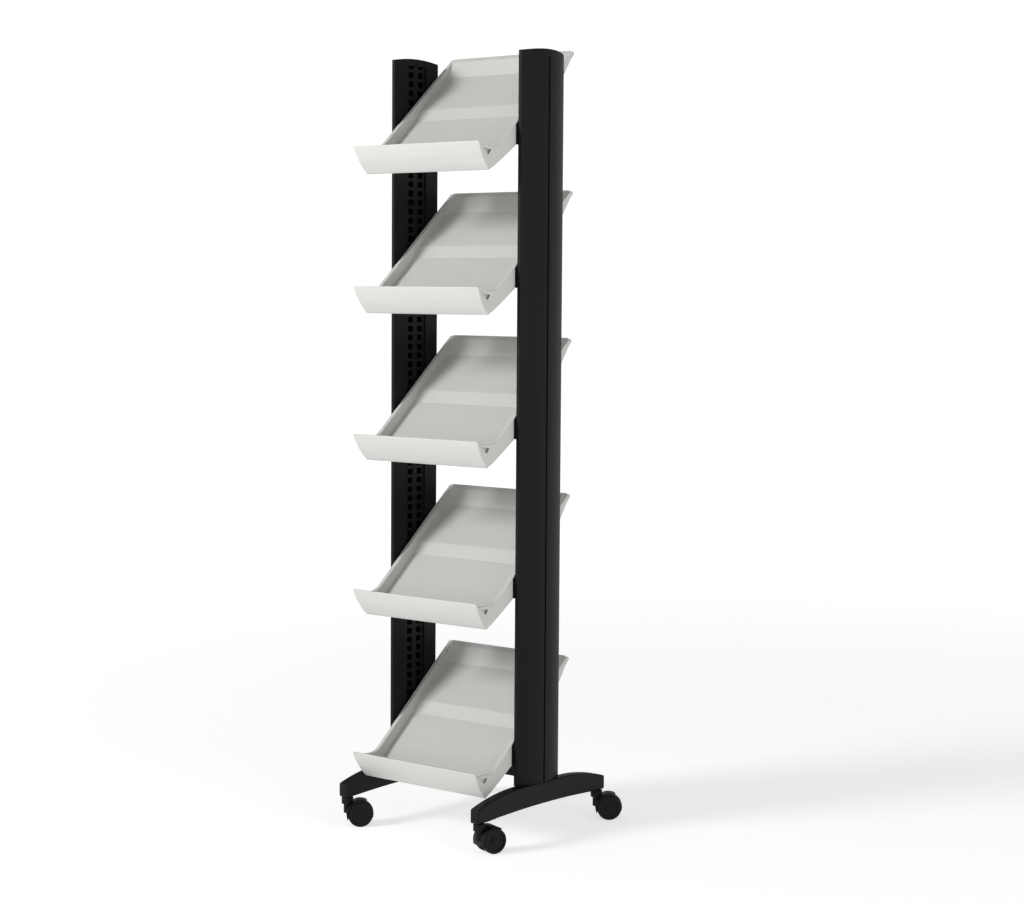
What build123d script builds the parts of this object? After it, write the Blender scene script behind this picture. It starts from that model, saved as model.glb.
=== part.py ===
"""Mobile newspaper rack: two slotted uprights on arched feet with casters, and five sloping trays.

Frame: millimetres, X across the rack, -Y towards the reader, +Z up. The origin lies on the floor,
midway between the uprights and midway between their front and rear edges.
"""
from build123d import *
from math import atan2, cos, hypot, pi, radians, sin, sqrt
import os

os.makedirs("parts", exist_ok=True)

# ---------------------------------------------------------------- driving dimensions
hook_pitch = 20.0          # rows of hook slots, centre to centre
rows_per_section = 20      # slot rows in one full upright section
section_count = 4          # stacked sections in one upright
upright_depth = 145.0      # front edge to rear edge of an upright
upright_edge = 8.5         # thickness of an upright along its front and rear edges
upright_bulge = 18.0       # how far the outer face swells beyond those edges
upright_wall = 3.0
groove_width, groove_depth = 5.0, 3.0
rib_width = 9.0            # rib behind the groove, which takes the section screws
edge_round = 1.5

rail_gauge = 2.0           # sheet of the slotted rail
rail_width = 72.0
rail_flange = 12.0
rail_window = 64.0         # opening in an upright's flat face that shows the rail
slot_width, slot_height = 16.0, 13.0
slot_spread = 30.6         # between the two columns of slots
lattice_drop = 47.0        # the slot lattice starts this far below the uprights' lower end
first_slot_row = 5
tongue_width, tongue_length = 62.0, 44.0     # part of the rail that laps the foot

cap_crown, cap_edge = 15.5, 9.0   # height of a top cap at its middle and at its edges
cap_skin = 3.0
plug_depth, plug_wall, plug_play = 14.0, 2.4, 0.4

foot_half_length = 221.0
foot_width = 21.0
foot_rise = 6.0            # the underside is this much higher in the middle than at the ends
foot_end_height, foot_arch_height = 30.0, 53.0   # top above the ends' underside, at ends and middle
foot_wall = 3.0
foot_boss = 33.0           # solid length of the foot round each caster socket
foot_hub = 44.0            # solid length of the foot behind the rail
foot_round, foot_corner = 3.0, 4.0

caster_inset = 16.0        # caster axis to the end of the foot
caster_trail = 28.0        # wheel axle behind the swivel axis
wheel_radius, wheel_width = 27.0, 11.0
wheel_gap = 18.0           # between the two wheels of a caster
wheel_face, wheel_dish = 3.0, 2.2            # closed outer face and the dish pressed into it
hood_gap, hood_wall, hood_lap = 1.2, 2.3, 2.0    # hood beyond the wheels, round and beside them
web_gap, web_drop = 1.5, 11.0                # web between the wheels, and its end below the axle
neck_gap, neck_length = 0.6, 34.9
shoulder_radius, shoulder_length = 13.0, 14.0
shoulder_rise = 8.5       # foot above the hood's round top
axle_radius, stem_radius = 3.0, 5.0
stem_depth = 26.9          # stem below the hood's shoulder
bearing_play = 0.05        # radial play of a turning pin in its bore
thrust_gap = 0.5           # between the hood's shoulder and the socket's flange
socket_wall, socket_length = 3.0, 26.0
flange_lap, flange_height = 1.45, 1.6
stem_top_gap = 2.0
headings = {"front_left": 45.0, "front_right": 70.0, "rear_left": 60.0, "rear_right": 40.0}

tray_width = 342.0         # over the side skirts
tray_wall = 3.0
rim_width = 9.0            # folded rim of the side walls
tray_slope = 40.7          # degrees, rim against the floor
rim_start_y, rim_start_z = -130.0, -2.7      # a point on the straight rim, from the lip's top
bend_run = -9.2            # where the front part of the rim branches off, along the slope
rim_front_slope = 1.5      # degrees, rim in front of that bend
rim_bend = 40.0            # radius of the bend
rim_length = 327.0         # along the slope
lower_drop, upper_drop = 23.6, 15.2          # depth of the two shelf floors under the rim
crease_run, step_run = 127.6, 159.3          # foot and head of the riser between them
back_run, back_top_run = 276.0, 314.0        # foot and head of the back wall
lip_height = 58.5
lip_top_y, lip_bottom_y = -203.5, -164.0
lip_bow = 4.3              # how far the lip's front face swells
lip_thickness = 4.0
lip_flare = 4.6            # the lip's top corner stands this far outside the skirt
lip_corner = 3.0
lip_window = [(-184.0, -13.2), (-157.0, -16.5), (-166.0, -27.5)]     # opening in each skirt
rim_on_lip = 0.15          # where the rim meets the lip, as a share of the lip's height

tray_rows = [66, 51, 35, 18, 0]     # slot rows of the five trays above the lowest, top to bottom

bracket_gauge = 1.9
bracket_play = 0.3         # gap either side of a bracket, to the tray skirt and to the upright
bracket_front, bracket_rear, bracket_low = -76.5, 60.0, -1.5
peg_radius, peg_play, peg_reach = 4.0, 0.3, 5.3
front_peg, rear_peg = (-58.0, 24.0), (46.0, 127.0)   # peg axes from the lip's top
hook_rows = (0, 2)         # slot rows taken by a bracket, above its lowest
lowest_hook = 6.0          # lowest slot centre above the lip's top
hook_width, hook_height, hook_tip, hook_play = 12.0, 6.0, 5.0, 0.4
hook_gauge = 2.5

bar_width, bar_height, bar_wall = 40.0, 32.0, 2.0
bar_gap = 6.0              # between the foot's top and the crossbar
bar_plate, bar_plate_width, bar_plate_lap = 3.0, 60.0, 2.0
bolt_radius, bolt_head, bolt_head_height = 3.0, 5.0, 3.3
bar_bolt_y, foot_bolt_y, foot_bolt_drop = 25.0, 14.0, 23.0
screw_radius, screw_head, screw_head_height = 2.0, 3.8, 2.2
screw_end_gap = 2.0        # left at the end of each screw hole

# ---------------------------------------------------------------- derived sizes
section_length = hook_pitch * rows_per_section
half_depth = upright_depth / 2
tray_half = tray_width / 2
bay_half = tray_half - rim_width             # half width of the holding space
bracket_x = tray_half + bracket_play
inner_face_x = bracket_x + bracket_gauge + bracket_play   # flat face of an upright
edge_x = inner_face_x + upright_edge
outer_x = edge_x + upright_bulge
web_x = inner_face_x + upright_wall          # seen face of the slotted rail
back_x = web_x + rail_gauge                  # rear of the rail, and the foot's inner face
foot_x = back_x + foot_width / 2
caster_y = foot_half_length - caster_inset
hood_radius = wheel_radius + hood_gap + hood_wall
hood_width = wheel_gap + 2 * (wheel_width + hood_lap)
socket_radius = stem_radius + bearing_play + socket_wall
foot_end_low = wheel_radius + hood_radius + shoulder_rise
foot_mid_low = foot_end_low + foot_rise
foot_end_high = foot_end_low + foot_end_height
foot_mid_high = foot_end_low + foot_arch_height
tongue_low = foot_mid_high - tongue_length
bar_low = foot_mid_high + bar_gap
bar_z = bar_low + bar_height / 2
foot_bolt_z = foot_mid_high - foot_bolt_drop
upright_low = foot_mid_high
lattice_foot = upright_low - lattice_drop
upright_top = lattice_foot + section_length * section_count
lowest_lip = lattice_foot + first_slot_row * hook_pitch - lowest_hook
slope = radians(tray_slope)
front_slope = radians(rim_front_slope)
SIDES = {"left": -1, "right": 1}
ENDS = {"front": -1, "rear": 1}
MIDDLE = (Align.CENTER, Align.CENTER, Align.CENTER)


def slot_centre(row):
    """Height of a slot row; a section's lowest edge runs through the middle of row 0, 20, 40..."""
    return lattice_foot + row * hook_pitch


def section_ends(number):
    """Lower and upper end of a section, counted from the floor; the first stands on the foot."""
    high = lattice_foot + number * section_length
    return (upright_low if number == 1 else high - section_length), high


def screw_heights(number):
    """Two screws hold each section, a quarter of its length from either end."""
    low, high = section_ends(number)
    return [low + (high - low) / 4, high - (high - low) / 4]


def across(x):
    """Plane facing +X at a given X: its own axes are Y and Z of the rack."""
    return Plane.YZ.offset(x)


def rod(x_from, x_to, y, z, radius, mode=Mode.ADD):
    """Round bar or bore along X."""
    with BuildSketch(across(x_from)) as end:
        with Locations((y, z)):
            Circle(radius)
    extrude(end.sketch, amount=x_to - x_from, mode=mode)


def block(x_range, y_range, z_range, mode=Mode.ADD):
    """Box given by its limits."""
    spans = (x_range, y_range, z_range)
    with Locations(tuple(sum(span) / 2 for span in spans)):
        Box(*(abs(span[1] - span[0]) for span in spans), align=MIDDLE, mode=mode)


def save(piece, name):
    piece.label = name
    export_step(piece, f"parts/{name}.step")


# ---------------------------------------------------------------- uprights
def upright_outline(side, shrink=0.0):
    """Flat inner face, straight edges and one bowed outer face, in plan."""
    with BuildSketch(Plane.XY, mode=Mode.PRIVATE) as outline:
        with BuildLine():
            Polyline((side * edge_x, -half_depth), (side * inner_face_x, -half_depth),
                     (side * inner_face_x, half_depth), (side * edge_x, half_depth))
            ThreePointArc((side * edge_x, half_depth), (side * outer_x, 0),
                          (side * edge_x, -half_depth))
        make_face()
        if shrink:
            offset(amount=-shrink, kind=Kind.INTERSECTION, mode=Mode.REPLACE)
        else:
            fillet(outline.vertices(), edge_round)
    return outline.sketch


def flat(x_from, x_to, half_width, mode=Mode.ADD):
    """Rectangle in plan, symmetrical about the middle of the upright's depth."""
    with Locations(((x_from + x_to) / 2, 0)):
        Rectangle(abs(x_to - x_from), 2 * half_width, mode=mode)


def upright_section(side, number):
    """A moulded cover: thin shell, central rib, outer groove, and a window for the rail."""
    low, high = section_ends(number)
    with BuildPart() as section:
        with BuildSketch(Plane.XY.offset(low)):
            add(upright_outline(side))
            add(upright_outline(side, upright_wall), mode=Mode.SUBTRACT)
            flat(side * back_x, side * (outer_x - upright_wall / 2), rib_width / 2)
            flat(side * (outer_x - groove_depth), side * (outer_x + 1), groove_width / 2,
                 Mode.SUBTRACT)
            flat(side * (inner_face_x - 1), side * web_x, rail_window / 2, Mode.SUBTRACT)
        extrude(amount=high - low)
        for z in screw_heights(number):
            rod(side * back_x, side * (outer_x - upright_wall - screw_end_gap), 0, z, screw_radius,
                Mode.SUBTRACT)
    return section.part


def hook_rail(side):
    """Sheet channel with two columns of slots; its tongue laps the foot."""
    last_row = section_count * rows_per_section
    with BuildPart() as rail:
        block((side * web_x, side * back_x), (-rail_width / 2, rail_width / 2),
              (upright_low, upright_top))
        for end in ENDS.values():
            block((side * web_x, side * (web_x + rail_flange)),
                  (end * rail_width / 2, end * (rail_width / 2 - rail_gauge)),
                  (upright_low, upright_top))
        block((side * web_x, side * back_x), (-tongue_width / 2, tongue_width / 2),
              (tongue_low, upright_low + 1))
        with BuildSketch(across(side * (web_x - 1))):
            slots = [(column * slot_spread / 2, slot_centre(row))
                     for row in range(first_slot_row, last_row + 1) for column in (-1, 1)]
            with Locations(slots):
                RectangleRounded(slot_width, slot_height, 1.0)
        extrude(amount=side * (rail_gauge + 2), mode=Mode.SUBTRACT)
        for number in range(1, section_count + 1):
            for z in screw_heights(number):
                rod(side * web_x, side * back_x, 0, z, screw_radius, Mode.SUBTRACT)
        for end in ENDS.values():
            rod(side * web_x, side * back_x, end * bar_bolt_y, bar_z, bolt_radius, Mode.SUBTRACT)
            rod(side * web_x, side * back_x, end * foot_bolt_y, foot_bolt_z, bolt_radius,
                Mode.SUBTRACT)
    return rail.part


def top_cap(side):
    """Arched lid with a plug wall that enters the highest section at either side of the rail."""
    inside = upright_wall + plug_play
    with BuildPart() as cap:
        with BuildSketch(Plane.XY.offset(upright_top)):
            add(upright_outline(side))
        extrude(amount=cap_crown)
        with BuildSketch(across(side * (inner_face_x - 1))):
            with BuildLine():
                Polyline((half_depth, upright_top + cap_edge), (half_depth, upright_top),
                         (-half_depth, upright_top), (-half_depth, upright_top + cap_edge))
                ThreePointArc((-half_depth, upright_top + cap_edge), (0, upright_top + cap_crown),
                              (half_depth, upright_top + cap_edge))
            make_face()
        extrude(amount=side * (outer_x - inner_face_x + 2), mode=Mode.INTERSECT)
        with BuildSketch(Plane.XY.offset(upright_top - plug_depth)):
            add(upright_outline(side, inside))
        extrude(amount=plug_depth)
        with BuildSketch(Plane.XY.offset(upright_top - plug_depth)):
            add(upright_outline(side, inside + plug_wall))
        extrude(amount=plug_depth + cap_edge - cap_skin, mode=Mode.SUBTRACT)
        block((side * inner_face_x, side * outer_x), (-rail_width / 2 - 2, rail_width / 2 + 2),
              (upright_top - plug_depth, upright_top), Mode.SUBTRACT)
    return cap.part


# ---------------------------------------------------------------- feet and crossbar
def foot_arch(y, inset=0.0):
    """Height of the foot's top: level under the upright, then a circular fall to either end."""
    run, fall = foot_half_length - half_depth, foot_mid_high - foot_end_high
    radius = (run ** 2 + fall ** 2) / (2 * fall)
    beyond = max(abs(y) - half_depth, 0.0)
    return foot_mid_high - radius + sqrt((radius - inset) ** 2 - beyond ** 2)


def foot_top_line(y_from, y_to, inset=0.0):
    """Arc of the foot's top between two places on one half of the foot."""
    middle = (y_from + y_to) / 2
    ThreePointArc(*((y, foot_arch(y, inset)) for y in (y_from, middle, y_to)))


def foot(side):
    """Arched bar, hollow from below between its hub and the bosses for the caster sockets."""
    boss_y = foot_half_length - foot_boss
    with BuildPart() as bar:
        with BuildSketch(across(side * back_x)) as outline:
            with BuildLine():
                foot_top_line(-foot_half_length, -half_depth)
                Line((-half_depth, foot_mid_high), (half_depth, foot_mid_high))
                foot_top_line(half_depth, foot_half_length)
                Polyline((foot_half_length, foot_end_high), (foot_half_length, foot_end_low),
                         (boss_y, foot_end_low))
                ThreePointArc((boss_y, foot_end_low), (0, foot_mid_low), (-boss_y, foot_end_low))
                Polyline((-boss_y, foot_end_low), (-foot_half_length, foot_end_low),
                         (-foot_half_length, foot_end_high))
            make_face()
            corners = outline.vertices().filter_by(lambda v: abs(v.X) > foot_half_length - 1)
            fillet(corners, foot_corner)
        extrude(amount=side * foot_width)
        long_edges = bar.edges().filter_by(lambda e: e.length > 100 and e.center().Z > foot_end_high)
        outer_edges = long_edges.filter_by(lambda e: abs(e.center().X) > foot_x)
        fillet(outer_edges, foot_round)
        for end in ENDS.values():
            hub_y, floor_z = end * foot_hub / 2, foot_end_low - 5
            with BuildSketch(across(side * (back_x + foot_wall))):
                with BuildLine():
                    Line((hub_y, foot_mid_high - foot_wall),
                         (end * half_depth, foot_mid_high - foot_wall))
                    foot_top_line(end * half_depth, end * boss_y, foot_wall)
                    Polyline((end * boss_y, foot_arch(boss_y, foot_wall)), (end * boss_y, floor_z),
                             (hub_y, floor_z), (hub_y, foot_mid_high - foot_wall))
                make_face()
            extrude(amount=side * (foot_width - 2 * foot_wall), mode=Mode.SUBTRACT)
            with BuildSketch(Plane.XY.offset(foot_end_low)):
                with Locations((side * foot_x, end * caster_y)):
                    Circle(socket_radius)
            extrude(amount=socket_length, mode=Mode.SUBTRACT)
            rod(side * back_x, side * (back_x + foot_width - foot_wall), end * foot_bolt_y,
                foot_bolt_z, bolt_radius, Mode.SUBTRACT)
    return bar.part


def crossbar():
    """Box section between the two rails, closed by an end plate that is bolted to each rail."""
    length = 2 * (web_x - bar_plate)
    with BuildPart() as bar:
        with BuildSketch(across(-length / 2)):
            with Locations((0, bar_z)):
                RectangleRounded(bar_width, bar_height, 3 * bar_wall / 2)
                RectangleRounded(bar_width - 2 * bar_wall, bar_height - 2 * bar_wall, bar_wall / 2,
                                 mode=Mode.SUBTRACT)
        extrude(amount=length)
        for side in SIDES.values():
            with BuildSketch(across(side * (web_x - bar_plate))):
                with Locations((0, bar_z)):
                    RectangleRounded(bar_plate_width, bar_height + 2 * bar_plate_lap, 4)
                with Locations((-bar_bolt_y, bar_z), (bar_bolt_y, bar_z)):
                    Circle(bolt_radius, mode=Mode.SUBTRACT)
            extrude(amount=side * bar_plate)
    return bar.part


def fasteners(places, tip_x, seat_x, radius, head_radius, head_height):
    """Pan-headed screws along X, heads towards the middle of the rack; one solid for each."""
    with BuildPart() as group:
        for side in SIDES.values():
            for y, z in places:
                rod(side * seat_x, side * tip_x, y, z, radius)
                rod(side * seat_x, side * (seat_x - head_height), y, z, head_radius)
        heads = group.edges().filter_by(GeomType.CIRCLE).filter_by(
            lambda e: abs(abs(e.center().X) - (seat_x - head_height)) < 0.01)
        fillet(heads, head_height / 4)
    return group.part


# ---------------------------------------------------------------- trays
def on_rim(run, drop=0.0):
    """(y, z) at a distance along the tray's straight rim, and below it square to the slope."""
    return (rim_start_y + run * cos(slope) + drop * sin(slope),
            rim_start_z + run * sin(slope) - drop * cos(slope))


def lip_point(share, depth):
    """(y, z) on the bowed lip: share of its height from the top, depth behind its front face."""
    chord = hypot(lip_bottom_y - lip_top_y, lip_height)
    radius = (chord ** 2 / 4 + lip_bow ** 2) / (2 * lip_bow)
    back, up = lip_height / chord, (lip_bottom_y - lip_top_y) / chord
    centre_y = (lip_top_y + lip_bottom_y) / 2 + (radius - lip_bow) * back
    centre_z = -lip_height / 2 + (radius - lip_bow) * up
    top = atan2(-centre_z, lip_top_y - centre_y)
    bottom = atan2(-lip_height - centre_z, lip_bottom_y - centre_y)
    angle = top + (bottom - top) * share
    return (centre_y + (radius - depth) * cos(angle), centre_z + (radius - depth) * sin(angle))


def rim_line(drop):
    """Rim from the lip to the tray's rear end: a short flatter part, a bend, the long slope."""
    tangent = rim_bend * sin((slope - front_slope) / 2) / cos((slope - front_slope) / 2)
    foot_y, foot_z = on_rim(bend_run + tangent)
    centre_y, centre_z = foot_y - rim_bend * sin(slope), foot_z + rim_bend * cos(slope)
    arc = [(centre_y + (rim_bend + drop) * sin(a), centre_z - (rim_bend + drop) * cos(a))
           for a in (front_slope, (slope + front_slope) / 2, slope)]
    lip_y, lip_z = lip_point(rim_on_lip, lip_thickness / 2)
    Line((lip_y, lip_z - drop), arc[0])
    ThreePointArc(*arc)
    Line(arc[2], on_rim(rim_length - drop, drop))
    return (lip_y, lip_z - drop)


def lip_line(depth, share_from, share_to):
    """Arc parallel to the lip's front face."""
    shares = (share_from, (share_from + share_to) / 2, share_to)
    ThreePointArc(*(lip_point(share, depth) for share in shares))


def floor_line(drop=0.0):
    """Shelf floor from the lip to the back wall: low shelf, riser, high shelf, back wall."""
    return [on_rim(-57.0, lower_drop - 5.2 + drop), on_rim(-38.0, lower_drop - 2.0 + drop),
            on_rim(-10.0, lower_drop + drop), on_rim(crease_run, lower_drop + drop),
            on_rim(step_run, upper_drop + drop), on_rim(back_run, upper_drop + drop),
            on_rim(back_top_run, drop)]


def skirt_line():
    """Lower edge of the side skirts, from the tray's rear end to the lip."""
    return [on_rim(rim_length, 0), on_rim(rim_length, 9.0), on_rim(307.0, 11.0),
            on_rim(269.0, 21.0), on_rim(46.0, 35.8), on_rim(37.5, 34.6), on_rim(-6.0, 29.7),
            on_rim(-41.0, 24.6), lip_point(1, lip_thickness / 2)]


def soften(sketch, place, radius):
    """Round the corner of a sketch nearest to a place."""
    corner = sketch.vertices().sort_by(lambda v: hypot(v.X - place[0], v.Y - place[1]))[0]
    fillet(corner, radius)


def tray_lip(plane):
    """Bowed front bar, wider at its top than at its foot."""
    reach = tray_half + lip_flare
    with BuildPart() as lip:
        with BuildSketch(plane) as band:
            with BuildLine():
                lip_line(0, 0, 1)
                lip_line(lip_thickness, 0, 1)
                Line(lip_point(0, 0), lip_point(0, lip_thickness))
                Line(lip_point(1, 0), lip_point(1, lip_thickness))
            make_face()
            for depth in (0, lip_thickness):
                soften(band, lip_point(0, depth), 0.45 * lip_thickness)
        extrude(amount=reach, both=True)
        top, low = plane.origin.Z, plane.origin.Z - lip_height
        with BuildSketch(Plane.XZ) as front:
            with BuildLine():
                Polyline((-reach, top), (reach, top), (tray_half, low), (-tray_half, low), close=True)
            make_face()
            fillet(front.vertices().group_by(Axis.Y)[-1], lip_corner)
        extrude(amount=foot_half_length, mode=Mode.INTERSECT)
    return lip.part


def tray(lip_z):
    """Open bin: bowed lip, folded side walls, and a floor with one step along its length."""
    plane = Plane(origin=(0, 0, lip_z), x_dir=(0, 1, 0), z_dir=(1, 0, 0))
    floor_z = -2 * lip_height
    with BuildPart() as bin_:
        with BuildSketch(plane) as outline:
            with BuildLine():
                rim_line(0)
                Polyline(*skirt_line())
                lip_line(lip_thickness / 2, rim_on_lip, 1)
            make_face()
            soften(outline, on_rim(rim_length, 0), 5)
            soften(outline, on_rim(rim_length, 9.0), 3)
            soften(outline, on_rim(269.0, 21.0), 12)
            soften(outline, on_rim(307.0, 11.0), 12)
        extrude(amount=tray_half, both=True)
        with BuildSketch(plane):
            with BuildLine():
                start = rim_line(tray_wall)
                Polyline(on_rim(rim_length - tray_wall, tray_wall),
                         on_rim(rim_length - tray_wall, 60), (0, floor_z),
                         (start[0] - 20, floor_z), (start[0] - 20, start[1]), start)
            make_face()
        extrude(amount=tray_half - tray_wall, both=True, mode=Mode.SUBTRACT)
        with BuildSketch(plane):
            with BuildLine():
                rim_line(0)
                Polyline(on_rim(rim_length, 0), on_rim(back_top_run, tray_wall),
                         *reversed(floor_line(tray_wall)[:-1]), lip_point(1, lip_thickness / 2))
                lip_line(lip_thickness / 2, rim_on_lip, 1)
            make_face()
        extrude(amount=bay_half + tray_wall, both=True)
        with BuildSketch(plane) as space:
            with BuildLine():
                front = floor_line()[0]
                Polyline(*floor_line(), on_rim(back_top_run, -30), (lip_top_y - 20, 30),
                         (lip_top_y - 20, front[1]), front)
            make_face()
            soften(space, on_rim(step_run, upper_drop), 6)
            soften(space, on_rim(crease_run, lower_drop), 6)
            soften(space, on_rim(back_run, upper_drop), 10)
        extrude(amount=bay_half, both=True, mode=Mode.SUBTRACT)
        add(tray_lip(plane))
        for side in SIDES.values():
            start_x = side * (bay_half + tray_wall + 0.2)
            notch = 2 * (peg_radius + peg_play)
            with BuildSketch(plane.offset(start_x)):
                for peg in (front_peg, rear_peg):
                    with Locations(peg):
                        Circle(notch / 2)
                        Rectangle(notch, lip_height, align=(Align.CENTER, Align.MAX))
                with BuildLine():
                    Polyline(*lip_window, close=True)
                make_face()
            extrude(amount=side * rim_width, mode=Mode.SUBTRACT)
    return bin_.part


def bracket(side, lip_z):
    """Plate beside a tray: hooks into the rail on one face, two pegs for the tray on the other."""
    plane = Plane(origin=(0, 0, lip_z), x_dir=(0, 1, 0), z_dir=(1, 0, 0))
    plate_out = bracket_x + bracket_gauge
    hook_out = back_x + hook_play + hook_gauge
    edge_run = 2.0 / cos(slope)
    rise = (bracket_front - rim_start_y) * sin(slope) / cos(slope) + rim_start_z - edge_run
    rear_rise = rise + (bracket_rear - bracket_front) * sin(slope) / cos(slope)
    with BuildPart() as plate:
        with BuildSketch(plane.offset(side * bracket_x)) as outline:
            with BuildLine():
                Polyline((bracket_front, bracket_low), (bracket_front, rise),
                         (bracket_rear, rear_rise), (bracket_rear, rear_rise - 60),
                         (slot_spread / 2 + hook_width, bracket_low), close=True)
            make_face()
            fillet(outline.vertices(), 3)
        extrude(amount=side * bracket_gauge)
        for peg in (front_peg, rear_peg):
            with BuildSketch(plane.offset(side * bracket_x)):
                with Locations(peg):
                    Circle(peg_radius)
            extrude(amount=-side * peg_reach)
        for row in hook_rows:
            seat = lip_z + lowest_hook + row * hook_pitch - slot_height / 2
            for column in (-1, 1):
                y = column * slot_spread / 2
                y_range = (y - hook_width / 2, y + hook_width / 2)
                block((side * plate_out, side * hook_out), y_range, (seat, seat + hook_height))
                block((side * (back_x + hook_play), side * hook_out), y_range,
                      (seat - hook_tip, seat))
    return plate.part


# ---------------------------------------------------------------- casters
def caster(name, side, end):
    """Twin-wheel caster: socket in the foot, turning stem and hood, and two wheels on an axle."""
    turn = radians(headings[name])
    centre = (side * foot_x, end * caster_y, 0)
    along = (cos(turn), sin(turn), 0)
    plan = Plane(origin=centre, x_dir=along, z_dir=(0, 0, 1))
    upright = Plane(origin=centre, x_dir=along, z_dir=(sin(turn), -cos(turn), 0))
    axle = (caster_trail, wheel_radius)
    hood_top = foot_end_low - flange_height - thrust_gap
    stem_low = hood_top - stem_depth
    stem_top = foot_end_low + socket_length - stem_top_gap
    wheel_in = wheel_gap / 2
    wheel_out = wheel_in + wheel_width
    bore_out = wheel_out - wheel_face - wheel_dish

    with BuildPart() as socket:
        for low, height, radius in ((foot_end_low, socket_length, socket_radius),
                                    (foot_end_low - flange_height, flange_height,
                                     socket_radius + flange_lap)):
            with BuildSketch(plan.offset(low)):
                Circle(radius)
            extrude(amount=height)
        with BuildSketch(plan.offset(foot_end_low - flange_height)):
            Circle(stem_radius + bearing_play)
        extrude(amount=flange_height + socket_length, mode=Mode.SUBTRACT)
    save(socket.part, f"{name}_caster_socket")

    with BuildPart() as stem:
        with BuildSketch(plan.offset(stem_low)):
            Circle(stem_radius)
        extrude(amount=stem_top - stem_low)
        chamfer(stem.edges().group_by(Axis.Z)[-1], 1)
    save(stem.part, f"{name}_caster_stem")

    with BuildPart() as hood:
        with BuildSketch(upright):
            with Locations(axle):
                Circle(hood_radius - hood_wall / 2)
            with Locations((axle[0], axle[1] - web_drop)):
                Rectangle(3 * hood_radius, 2 * hood_radius, align=(Align.CENTER, Align.MAX),
                          mode=Mode.SUBTRACT)
        extrude(amount=wheel_in - web_gap, both=True)
        with BuildSketch(upright):
            with BuildLine():
                over = CenterArc(axle, hood_radius, 60, 140)
                under = CenterArc(axle, hood_radius - hood_wall, 60, 140)
                Line(over @ 0, under @ 0)
                Line(over @ 1, under @ 1)
            make_face()
        extrude(amount=hood_width / 2, both=True)
        for length, radius in ((neck_length, wheel_in - neck_gap),
                               (shoulder_length, shoulder_radius)):
            with BuildSketch(plan.offset(hood_top - length)):
                Circle(radius)
            extrude(amount=length)
        with BuildSketch(upright):
            with Locations(axle):
                Circle(axle_radius + bearing_play)
        extrude(amount=wheel_gap, both=True, mode=Mode.SUBTRACT)
        with BuildSketch(plan.offset(stem_low)):
            Circle(stem_radius)
        extrude(amount=hood_top - stem_low, mode=Mode.SUBTRACT)
    save(hood.part, f"{name}_caster_hood")

    with BuildPart() as pin:
        with BuildSketch(upright):
            with Locations(axle):
                Circle(axle_radius)
        extrude(amount=bore_out, both=True)
    save(pin.part, f"{name}_caster_axle")

    for label, way in (("wheel_a", -1), ("wheel_b", 1)):
        with BuildPart() as wheel:
            with BuildSketch(upright.offset(way * wheel_in)):
                with Locations(axle):
                    Circle(wheel_radius)
            extrude(amount=way * wheel_width)
            fillet(wheel.edges().filter_by(GeomType.CIRCLE), 1.6)
            with BuildSketch(upright.offset(way * (wheel_out - wheel_dish))):
                with Locations(axle):
                    Circle(0.8 * wheel_radius)
                    Circle(0.3 * wheel_radius, mode=Mode.SUBTRACT)
            extrude(amount=way * wheel_dish, mode=Mode.SUBTRACT)
            with BuildSketch(upright.offset(way * wheel_in)):
                with Locations(axle):
                    Circle(axle_radius)
            extrude(amount=way * (bore_out - wheel_in), mode=Mode.SUBTRACT)
        save(wheel.part, f"{name}_caster_{label}")


# ---------------------------------------------------------------- all pieces
for side_name, side in SIDES.items():
    for number in range(1, section_count + 1):
        save(upright_section(side, number), f"{side_name}_section_{number}")
    save(hook_rail(side), f"{side_name}_hook_rail")
    save(top_cap(side), f"{side_name}_top_cap")
    save(foot(side), f"{side_name}_foot")
    for end_name, end in ENDS.items():
        caster(f"{end_name}_{side_name}", side, end)

save(crossbar(), "crossbar")
save(fasteners([(0, z) for n in range(1, section_count + 1) for z in screw_heights(n)],
               outer_x - upright_wall - screw_end_gap, web_x, screw_radius, screw_head,
               screw_head_height), "section_screws")
save(fasteners([(end * bar_bolt_y, bar_z) for end in ENDS.values()], back_x, web_x - bar_plate,
               bolt_radius, bolt_head, bolt_head_height), "crossbar_bolts")
save(fasteners([(end * foot_bolt_y, foot_bolt_z) for end in ENDS.values()],
               back_x + foot_width - foot_wall, web_x, bolt_radius, bolt_head, bolt_head_height),
     "foot_bolts")

for number, row in enumerate(tray_rows, 1):
    lip_z = lowest_lip + row * hook_pitch
    save(tray(lip_z), f"tray_{number}")
    for side_name, side in SIDES.items():
        save(bracket(side, lip_z), f"tray_{number}_{side_name}_bracket")
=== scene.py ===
"""Newspaper rack: finishes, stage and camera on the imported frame.

Laid out as a Blender add-on and run as a script. Each operator finishes one group of like pieces.
"""
import math

import bpy
import numpy as np
from bpy.props import FloatProperty, FloatVectorProperty, PointerProperty
from mathutils import Matrix, Vector

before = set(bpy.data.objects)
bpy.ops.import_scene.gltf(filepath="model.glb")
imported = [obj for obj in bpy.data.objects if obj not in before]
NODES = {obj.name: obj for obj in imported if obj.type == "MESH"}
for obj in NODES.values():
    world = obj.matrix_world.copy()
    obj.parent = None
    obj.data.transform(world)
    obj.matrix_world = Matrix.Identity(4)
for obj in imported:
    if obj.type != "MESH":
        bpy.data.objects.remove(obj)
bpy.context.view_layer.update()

bl_info = {
    "name": "Newspaper Rack",
    "version": (1, 0, 0),
    "blender": (4, 5, 0),
    "location": "3D View > Sidebar > Rack",
    "description": "Finishes for a mobile newspaper rack, with its stage and camera",
    "category": "Object",
}

TRAYS = [f"tray_{number}" for number in range(1, 6)]

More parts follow.
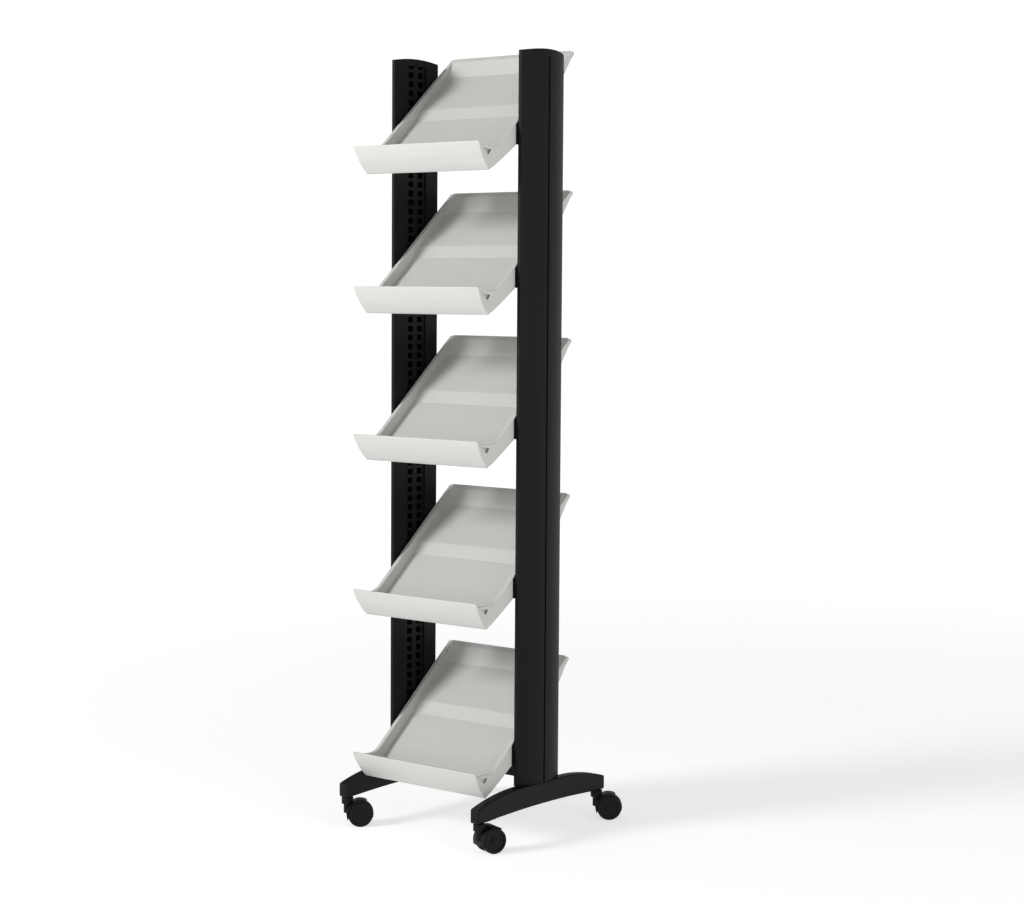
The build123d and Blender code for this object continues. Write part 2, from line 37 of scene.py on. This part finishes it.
OBJECT_OUTPUT = 3                       # place of Object among the Texture Coordinate outputs
WELD_DISTANCE = 1e-6                    # m, joins the triangles of a CAD mesh
FLAT_ANGLE = math.radians(0.4)          # faces turned less than this count as one flat
EDGE_ANGLE = math.radians(32)           # edges sharper than this are rounded
LIT_POINT = (0, 0, 0.9)                 # m, where both lights aim
KEY_PLACE, KEY_SIZE = (-3.6, -7.3, 4.5), 2.9        # m, far off in front, to the left
SIDE_PLACE, SIDE_SIZE = (3.6, -0.8, 1.6), 2.0       # m, beside the rack, to the right
BAND_TOP, BAND_END = 0.10, 0.30         # sine of the height where the backdrop starts and ends fading
GLOW_START, GLOW_END = 0.8, 7.0         # m from the rack, where the floor's glow rises
FLOOR_RADIUS, FLOOR_RINGS, FLOOR_SPOKES = 40.0, 12, 96
SENSOR_WIDTH, VIEW_END = 36.0, 200.0    # mm, m


# ---------------------------------------------------------------- settings
class RackFinish(bpy.types.PropertyGroup):
    """Colours and surface qualities of the rack's materials."""
    cover: FloatVectorProperty(
        name="Covers", description="Moulded covers and caps of the uprights",
        subtype="COLOR", size=3, min=0, max=1, default=(0.0046, 0.0047, 0.0051))
    coat: FloatVectorProperty(
        name="Powder coat", description="Feet, rails, brackets and crossbar",
        subtype="COLOR", size=3, min=0, max=1, default=(0.0040, 0.0040, 0.0044))
    tray: FloatVectorProperty(
        name="Trays", description="Moulded trays",
        subtype="COLOR", size=3, min=0, max=1, default=(0.54, 0.54, 0.52))
    nylon: FloatVectorProperty(
        name="Nylon", description="Caster hoods, sockets and wheels",
        subtype="COLOR", size=3, min=0, max=1, default=(0.0042, 0.0042, 0.0047))
    steel: FloatVectorProperty(
        name="Steel", description="Plated pins and screws",
        subtype="COLOR", size=3, min=0, max=1, default=(0.50, 0.50, 0.51))
    grain: FloatProperty(
        name="Grain", description="Spacing of the moulded plastic's fine grain",
        unit="LENGTH", default=0.0011, min=0.0001, max=0.01)
    peel: FloatProperty(
        name="Coat texture", description="Spacing of the bumps in the powder coat",
        unit="LENGTH", default=0.0016, min=0.0001, max=0.01)
    edge: FloatProperty(
        name="Edge radius", description="Rounding of moulded edges",
        unit="LENGTH", default=0.0008, min=0, max=0.003)


class RackStage(bpy.types.PropertyGroup):
    """Floor, lights and camera."""
    floor: FloatVectorProperty(
        name="Floor", description="Colour of the plain floor",
        subtype="COLOR", size=3, min=0, max=1, default=(0.55, 0.55, 0.55))
    sky: FloatProperty(
        name="Surroundings", description="Brightness of the even light from above",
        default=0.26, min=0, max=5)
    band: FloatProperty(
        name="Horizon", description="Brightness of the backdrop round the horizon",
        default=1.05, min=0, max=5)
    glow_near: FloatProperty(
        name="Floor glow near", description="Light the floor gives off by the rack",
        default=0.62, min=0, max=2)
    glow_far: FloatProperty(
        name="Floor glow far", description="Light the floor gives off far away",
        default=0.88, min=0, max=2)
    key: FloatProperty(
        name="Key light", description="Power of the large light in front", unit="POWER",
        default=590, min=0, max=5000)
    side: FloatProperty(
        name="Side light", description="Power of the light beside the rack", unit="POWER",
        default=26, min=0, max=5000)
    azimuth: FloatProperty(
        name="Camera azimuth", description="Turn of the view about the rack", subtype="ANGLE",
        default=math.radians(38.9))
    elevation: FloatProperty(
        name="Camera elevation", description="Downward tilt of the view", subtype="ANGLE",
        default=math.radians(4.38))
    roll: FloatProperty(
        name="Camera roll", description="Turn about the line of sight", subtype="ANGLE",
        default=math.radians(0.39))
    eye: FloatVectorProperty(
        name="Camera place", description="Where the camera stands", subtype="TRANSLATION",
        size=3, default=(3.0869, -3.6957, 1.1872))
    lens: FloatProperty(
        name="Lens", description="Focal length on a 36 mm wide sensor", unit="CAMERA",
        default=77.30, min=10, max=500)


# ---------------------------------------------------------------- shader maths
class Signal:
    """A shader socket that takes part in Python expressions."""

    def __init__(self, desk, socket):
        self.desk, self.socket = desk, socket

    def _math(self, kind, *values):
        return self.desk.node("ShaderNodeMath", {"operation": kind}, *values)

    def __add__(self, other):
        return self._math("ADD", self, other)

    def __radd__(self, other):
        return self._math("ADD", other, self)

    def __sub__(self, other):
        return self._math("SUBTRACT", self, other)

    def __mul__(self, other):
        return self._math("MULTIPLY", self, other)

    def __pow__(self, other):
        return self._math("POWER", self, other)


class Desk:
    """One material's node tree, with a Principled shader at its end."""

    def __init__(self, name):
        self.material = bpy.data.materials.new(name)
        self.material.use_nodes = True
        self.tree = self.material.node_tree
        self.shader = self.tree.nodes["Principled BSDF"]

    def node(self, kind, settings=None, *values, output=0, **named):
        """Adds a node: its settings first, then values or links for its sockets."""
        made = self.tree.nodes.new(kind)
        for key, value in (settings or {}).items():
            setattr(made, key, value)
        pairs = list(zip(made.inputs, values)) + [
            (made.inputs[key.replace("_", " ")], value) for key, value in named.items()]
        for socket, value in pairs:
            self.feed(socket, value)
        return Signal(self, made.outputs[output])

    def feed(self, socket, value):
        if isinstance(value, Signal):
            self.tree.links.new(value.socket, socket)
        elif value is not None:
            socket.default_value = value

    def place(self, scale):
        """Object coordinates, stretched."""
        where = self.node("ShaderNodeTexCoord", output=OBJECT_OUTPUT)
        return self.node("ShaderNodeMapping", {"vector_type": "POINT"}, where, Scale=scale)

    def noise(self, spacing, detail=2.0, rough=0.5, stretch=(1, 1, 1)):
        """Soft noise whose blobs are about one spacing apart, 0 to 1."""
        return self.node("ShaderNodeTexNoise", {"noise_dimensions": "3D"}, Vector=self.place(stretch),
                         Scale=1.0 / spacing, Detail=detail, Roughness=rough)

    def mix(self, factor, a, b):
        """Colour a where the factor is 0, b where it is 1."""
        made = self.tree.nodes.new("ShaderNodeMix")
        made.data_type = "RGBA"
        for socket, value in ((made.inputs["Factor"], factor), (made.inputs[6], a), (made.inputs[7], b)):
            if not isinstance(value, Signal) and socket.type == "RGBA":
                value = (*value, 1.0)
            self.feed(socket, value)
        return Signal(self, made.outputs[2])

    def steps(self, value, low, high):
        """0 below low, 1 above high, smooth between."""
        return self.node("ShaderNodeMapRange", {"interpolation_type": "SMOOTHSTEP"}, value,
                         From_Min=low, From_Max=high)

    def parts(self):
        """X, Y and Z of Object coordinates."""
        where = self.node("ShaderNodeTexCoord", output=OBJECT_OUTPUT)
        split = self.tree.nodes.new("ShaderNodeSeparateXYZ")
        self.tree.links.new(where.socket, split.inputs[0])
        return [Signal(self, out) for out in split.outputs]

    def bump(self, height, strength, distance, under=None):
        return self.node("ShaderNodeBump", None, Strength=strength, Distance=distance, Height=height,
                         Normal=under)

    def finish(self, **sockets):
        for name, value in sockets.items():
            socket = self.shader.inputs[name.replace("_", " ")]
            if isinstance(value, tuple) and socket.type == "RGBA":
                value = (*value, 1.0)
            self.feed(socket, value)
        return self.material


def shade(colour, factor):
    return tuple(min(1.0, channel * factor) for channel in colour)


# ---------------------------------------------------------------- materials
def moulded_cover(finish):
    """Black moulded plastic: fine grain, faint flow marks along its length, light scuffs."""
    desk = Desk("moulded_cover")
    grain = desk.noise(finish.grain, 3, 0.6)
    flow = desk.noise(0.09, 3, 0.5, (1, 1, 0.18))
    scuff = desk.steps(desk.noise(0.012, 5, 0.65, (1, 1, 0.25)), 0.60, 0.72)
    dust = desk.steps(desk.noise(0.0035, 2), 0.66, 0.74)
    colour = desk.mix(flow * 0.5, shade(finish.cover, 0.9), shade(finish.cover, 1.25))
    colour = desk.mix(scuff * 0.18, colour, shade(finish.cover, 3.2))
    colour = desk.mix(dust * 0.10, colour, shade(finish.cover, 5.0))
    rough = 0.46 + flow * 0.07 + grain * 0.06 + scuff * 0.08
    normal = desk.bump(grain, 0.35, 0.00012, desk.bump(flow, 0.15, 0.0006))
    return desk.finish(Base_Color=colour, Roughness=rough, Normal=normal, Specular_IOR_Level=0.13)


def powder_coat(finish, name, gloss=0.48):
    """Black powder coat: orange-peel bumps, a little polish on worn spots."""
    desk = Desk(name)
    base = finish.coat
    peel = desk.noise(finish.peel, 2, 0.5)
    cloud = desk.noise(0.05, 3)
    worn = desk.steps(desk.noise(0.009, 4, 0.6), 0.62, 0.74)
    colour = desk.mix(cloud * 0.6, shade(base, 0.85), shade(base, 1.25))
    colour = desk.mix(worn * 0.15, colour, shade(base, 3.0))
    rough = gloss + cloud * 0.08 - worn * 0.06
    normal = desk.bump(peel, 0.45, 0.00018)
    return desk.finish(Base_Color=colour, Roughness=rough, Normal=normal, Specular_IOR_Level=0.15)


def moulded_tray(finish):
    """Light grey moulded plastic: fine grain, faint drift of brightness, haze and a few specks."""
    desk = Desk("moulded_tray")
    grain = desk.noise(finish.grain, 3, 0.6)
    drift = desk.noise(0.16, 2)
    haze = desk.noise(0.03, 4, 0.6, (0.4, 1, 1))
    speck = desk.steps(desk.noise(0.0022, 1), 0.70, 0.76)
    colour = desk.mix(drift, shade(finish.tray, 0.975), shade(finish.tray, 1.02))
    colour = desk.mix(haze * 0.22, colour, (0.52, 0.515, 0.49))
    colour = desk.mix(speck * 0.12, colour, (0.33, 0.32, 0.30))
    rough = 0.44 + haze * 0.10 + grain * 0.05
    normal = desk.bump(grain, 0.30, 0.0001, desk.bump(haze, 0.10, 0.0005))
    return desk.finish(Base_Color=colour, Roughness=rough, Normal=normal,
                       Subsurface_Weight=0.04, Subsurface_Radius=(0.004, 0.004, 0.004),
                       Subsurface_Scale=1.0)


def nylon(finish, name, brightness, gloss, wear):
    """Black nylon: matt grain, paler where it is handled or rolls."""
    desk = Desk(name)
    base = shade(finish.nylon, brightness)
    grain = desk.noise(0.0009, 3, 0.6)
    cloud = desk.noise(0.012, 3)
    rub = desk.steps(desk.noise(0.004, 4, 0.65), 0.55, 0.70)
    colour = desk.mix(cloud * 0.6, shade(base, 0.85), shade(base, 1.3))
    colour = desk.mix(rub * wear, colour, shade(base, 4.5))
    rough = gloss + cloud * 0.08 + rub * 0.08
    normal = desk.bump(grain, 0.35, 0.0001)
    return desk.finish(Base_Color=colour, Roughness=rough, Normal=normal, Specular_IOR_Level=0.15)


def plated_steel(finish, name, brightness):
    """Plated steel: fine turned grain and a few dull patches."""
    desk = Desk(name)
    base = shade(finish.steel, brightness)
    fine = desk.noise(0.0007, 2)
    patch = desk.noise(0.005, 3)
    colour = desk.mix(patch, shade(base, 0.8), shade(base, 1.1))
    rough = 0.26 + patch * 0.14 + fine * 0.06
    normal = desk.bump(fine, 0.2, 0.00005)
    return desk.finish(Base_Color=colour, Roughness=rough, Normal=normal, Metallic=1.0)


# ---------------------------------------------------------------- dressing CAD nodes
def dress(names, material, edge=0.0, segments=2):
    """Gives nodes their material, and rounds their sharp edges by a modifier stack."""
    for name in names:
        piece = NODES[name]
        piece.data.materials.clear()
        piece.data.materials.append(material)
        if edge:
            weld = piece.modifiers.new("Join", "WELD")
            weld.merge_threshold = WELD_DISTANCE
            flatten = piece.modifiers.new("Merge flats", "DECIMATE")
            flatten.decimate_type = "DISSOLVE"
            flatten.angle_limit = FLAT_ANGLE
            bevel = piece.modifiers.new("Round", "BEVEL")
            bevel.width, bevel.segments = edge, segments
            bevel.limit_method, bevel.angle_limit = "ANGLE", EDGE_ANGLE
            bevel.harden_normals = True


def group(test):
    return [name for name in NODES if test(name)]


# ---------------------------------------------------------------- operators
class RackOperator(bpy.types.Operator):
    """Shared wording."""
    bl_options = {"REGISTER", "UNDO"}


class RACK_OT_covers(RackOperator):
    """Finishes the moulded covers and caps of the uprights"""
    bl_idname = "rack.covers"
    bl_label = "Finish Covers"

    def execute(self, context):
        finish = context.scene.rack_finish
        names = group(lambda n: "_section_" in n or n.endswith("_top_cap"))
        dress(names, moulded_cover(finish))
        return {"FINISHED"}


class RACK_OT_metalwork(RackOperator):
    """Finishes the feet, rails, brackets and crossbar"""
    bl_idname = "rack.metalwork"
    bl_label = "Finish Metalwork"

    def execute(self, context):
        finish = context.scene.rack_finish
        dress(group(lambda n: n.endswith("_foot")), powder_coat(finish, "foot_coat", gloss=0.46), 0.001)
        dress(group(lambda n: n.endswith("_hook_rail") or n == "crossbar"),
              powder_coat(finish, "rail_coat"))
        dress(group(lambda n: n.endswith("_bracket")), powder_coat(finish, "bracket_coat", gloss=0.52))
        return {"FINISHED"}


class RACK_OT_trays(RackOperator):
    """Finishes the five trays"""
    bl_idname = "rack.trays"
    bl_label = "Finish Trays"

    def execute(self, context):
        finish = context.scene.rack_finish
        dress(TRAYS, moulded_tray(finish), finish.edge)
        return {"FINISHED"}


class RACK_OT_casters(RackOperator):
    """Finishes the four casters"""
    bl_idname = "rack.casters"
    bl_label = "Finish Casters"

    def execute(self, context):
        finish = context.scene.rack_finish
        dress(group(lambda n: n.endswith("_hood") or n.endswith("_socket")),
              nylon(finish, "hood_nylon", 1.0, 0.50, 0.06), 0.0006)
        dress(group(lambda n: "_wheel_" in n), nylon(finish, "wheel_nylon", 1.2, 0.42, 0.10))
        dress(group(lambda n: n.endswith("_stem") or n.endswith("_axle")),
              plated_steel(finish, "bright_pin", 1.0))
        return {"FINISHED"}


class RACK_OT_fasteners(RackOperator):
    """Finishes the screws and bolts"""
    bl_idname = "rack.fasteners"
    bl_label = "Finish Fasteners"

    def execute(self, context):
        finish = context.scene.rack_finish
        dress(["section_screws", "crossbar_bolts", "foot_bolts"],
              plated_steel(finish, "dark_screw", 0.06))
        return {"FINISHED"}


def floor_material(stage):
    """Plain pale floor that gives off a little light, more of it far away."""
    desk = Desk("floor_paint")
    mottle = desk.noise(0.4, 2)
    x, y, _ = desk.parts()
    far = desk.steps((x * x + y * y) ** 0.5, GLOW_START, GLOW_END)
    near, away = (stage.glow_near,) * 3, (stage.glow_far,) * 3
    return desk.finish(Base_Color=desk.mix(mottle, shade(stage.floor, 0.99), tuple(stage.floor)),
                       Roughness=0.8, Specular_IOR_Level=0.2,
                       Emission_Color=desk.mix(far, near, away), Emission_Strength=1.0)


def disc(name, radius, rings, spokes):
    """Flat round floor: x = r cos a, y = r sin a, z = 0, with r and a on a grid."""
    r = np.linspace(0.0, radius, rings + 1)[1:]
    a = np.linspace(0.0, 2 * np.pi, spokes, endpoint=False)
    rr, aa = np.meshgrid(r, a, indexing="ij")
    grid = np.stack([rr * np.cos(aa), rr * np.sin(aa), np.zeros_like(rr)], axis=-1).reshape(-1, 3)
    points = np.vstack([grid, [[0, 0, 0]]])
    i, j = np.meshgrid(np.arange(rings - 1), np.arange(spokes), indexing="ij")
    k = (j + 1) % spokes
    quads = np.stack([i * spokes + j, (i + 1) * spokes + j, (i + 1) * spokes + k, i * spokes + k],
                     axis=-1).reshape(-1, 4)
    s = np.arange(spokes)
    fans = np.stack([np.full(spokes, len(grid)), s, (s + 1) % spokes], axis=-1)
    mesh = bpy.data.meshes.new(name)
    mesh.from_pydata(points.tolist(), [], quads.tolist() + fans.tolist())
    thing = bpy.data.objects.new(name, mesh)
    bpy.context.scene.collection.objects.link(thing)
    return thing


def soft_light(name, power, place, target, size):
    data = bpy.data.lights.new(name, "AREA")
    data.shape, data.size, data.energy = "DISK", size, power
    lamp = bpy.data.objects.new(name, data)
    bpy.context.scene.collection.objects.link(lamp)
    lamp.matrix_world = Matrix.Translation(place) @ (
        Vector(target) - Vector(place)).to_track_quat("-Z", "Y").to_matrix().to_4x4()
    return lamp


class RACK_OT_stage(RackOperator):
    """Lays the floor, hangs the lights and sets up the camera"""
    bl_idname = "rack.stage"
    bl_label = "Set Stage"

    def execute(self, context):
        scene, stage = context.scene, context.scene.rack_stage
        floor = disc("floor", FLOOR_RADIUS, FLOOR_RINGS, FLOOR_SPOKES)
        floor.data.materials.append(floor_material(stage))
        world = bpy.data.worlds.new("surroundings")
        world.use_nodes = True
        tree = world.node_tree
        split = tree.nodes.new("ShaderNodeSeparateXYZ")
        tree.links.new(tree.nodes.new("ShaderNodeTexCoord").outputs["Generated"], split.inputs[0])
        fade = tree.nodes.new("ShaderNodeMapRange")
        fade.interpolation_type = "SMOOTHSTEP"
        for value, socket in zip((BAND_TOP, BAND_END, stage.band, stage.sky), list(fade.inputs)[1:5]):
            socket.default_value = value
        tree.links.new(split.outputs["Z"], fade.inputs[0])
        tree.links.new(fade.outputs[0], tree.nodes["Background"].inputs["Strength"])
        tree.nodes["Background"].inputs["Color"].default_value = (1, 1, 1, 1)
        scene.world = world
        scene.view_settings.view_transform = "Standard"
        soft_light("key", stage.key, KEY_PLACE, LIT_POINT, KEY_SIZE)
        soft_light("side", stage.side, SIDE_PLACE, LIT_POINT, SIDE_SIZE)
        a, e, r = stage.azimuth, stage.elevation, stage.roll
        back_way = Vector((math.sin(a) * math.cos(e), -math.cos(a) * math.cos(e), math.sin(e)))
        right = Vector((math.cos(a), math.sin(a), 0))
        up = back_way.cross(right)
        right, up = right * math.cos(r) + up * math.sin(r), up * math.cos(r) - right * math.sin(r)
        turn = Matrix((right, up, back_way)).transposed().to_4x4()
        data = bpy.data.cameras.new("camera")
        data.lens, data.sensor_width, data.clip_end = stage.lens, SENSOR_WIDTH, VIEW_END
        eye = bpy.data.objects.new("camera", data)
        scene.collection.objects.link(eye)
        eye.matrix_world = Matrix.Translation(stage.eye) @ turn
        scene.camera = eye
        return {"FINISHED"}


class RACK_PT_panel(bpy.types.Panel):
    """Sidebar panel with the rack's settings and operators"""
    bl_idname = "RACK_PT_panel"
    bl_label = "Newspaper Rack"
    bl_space_type = "VIEW_3D"
    bl_region_type = "UI"
    bl_category = "Rack"

    def draw(self, context):
        for title, settings in (("Finish", context.scene.rack_finish), ("Stage", context.scene.rack_stage)):
            box = self.layout.box()
            box.label(text=title)
            for key in settings.__annotations__:
                box.prop(settings, key)
        for operator in OPERATORS:
            self.layout.operator(operator.bl_idname)


OPERATORS = (RACK_OT_stage, RACK_OT_covers, RACK_OT_metalwork, RACK_OT_trays, RACK_OT_casters,
             RACK_OT_fasteners)
CLASSES = (RackFinish, RackStage, *OPERATORS, RACK_PT_panel)


def register():
    for item in CLASSES:
        bpy.utils.register_class(item)
    bpy.types.Scene.rack_finish = PointerProperty(type=RackFinish)
    bpy.types.Scene.rack_stage = PointerProperty(type=RackStage)


def unregister():
    del bpy.types.Scene.rack_stage, bpy.types.Scene.rack_finish
    for item in reversed(CLASSES):
        bpy.utils.unregister_class(item)


def main():
    register()
    for operator in OPERATORS:
        family, name = operator.bl_idname.split(".")
        getattr(getattr(bpy.ops, family), name)()


if __name__ == "__main__":
    main()
